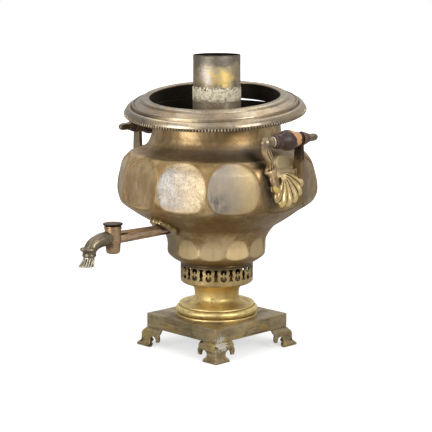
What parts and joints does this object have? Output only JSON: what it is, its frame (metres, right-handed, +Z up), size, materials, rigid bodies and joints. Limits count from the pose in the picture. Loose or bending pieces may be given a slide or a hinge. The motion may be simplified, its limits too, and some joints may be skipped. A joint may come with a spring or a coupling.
{
  "type": "samovar",
  "caption": "Faceted vase samovar in aged brass with a loose beaded top ring, chimney, pierced gallery, square footed plinth, tap and two turned handles.",
  "frame": {"origin": "centre of the plinth, on the plane that the feet's toes rest on", "axes": "+Z up along the vessel's axis, -Y the way the tap points, +X toward one handle"},
  "size_m": [0.3096, 0.3941, 0.4193],
  "materials": {
    "aged_brass": "olive-brown aged brass, worn and patchy",
    "dark_brass": "brass darkened by use",
    "bright_brass": "golden brass with a soft shine",
    "dull_brass": "dull scratched brass",
    "worn_plate": "brass under worn grey plating",
    "tap_bronze": "coppery brown brass",
    "solder": "pale crusty tin solder",
    "iron": "sooty iron",
    "dark_wood": "dark turned wood, worn to orange in one band"
  },
  "bodies": {
    "samovar": {"body_shell": "aged_brass", "fire_tube": "dark_brass", "chimney": "aged_brass", "joint_band": "solder", "grate": "iron", "gallery": "bright_brass", "stem": "bright_brass", "stem_flange": "bright_brass", "plinth": "dull_brass", "foot_front_right": "dull_brass", "foot_back_right": "dull_brass", "foot_back_left": "dull_brass", "foot_front_left": "dull_brass", "tap_plate": "tap_bronze", "tap_shank": "tap_bronze", "tap_barrel": "tap_bronze", "tap_spout": "tap_bronze", "tap_collar": "tap_bronze", "tap_nozzle": "tap_bronze", "leaf_right": "aged_brass", "leaf_left": "aged_brass", "ball_arm_right": "aged_brass", "ball_arm_left": "aged_brass", "flat_arm_right": "dark_brass", "flat_arm_left": "dark_brass", "rod_right": "dull_brass", "rod_left": "dull_brass", "washer_right": "solder", "washer_left": "solder", "end_collar_right": "dark_wood", "end_collar_left": "dark_wood"},
    "ring": {"top_ring": "worn_plate", "bead_edge": "worn_plate"},
    "plug": {"tap_plug": "tap_bronze"},
    "grip_r": {"grip_right": "dark_wood"},
    "grip_l": {"grip_left": "dark_wood"}
  },
  "joints": [
    {"name": "top_ring_lift", "type": "slide", "parent": "samovar", "child": "ring", "axis": [0, 0, 1], "range_m": [0, 0.1]},
    {"name": "tap_plug_turn", "type": "hinge", "parent": "samovar", "child": "plug", "pos_m": [0, -0.195, 0.19], "axis": [0, 0, 1], "continuous": true},
    {"name": "grip_right_turn", "type": "hinge", "parent": "samovar", "child": "grip_r", "pos_m": [0.1405, -0.003, 0.3101], "axis": [0, 1, 0], "continuous": true},
    {"name": "grip_left_turn", "type": "hinge", "parent": "samovar", "child": "grip_l", "pos_m": [-0.1405, -0.003, 0.3101], "axis": [0, 1, 0], "continuous": true}
  ]
}
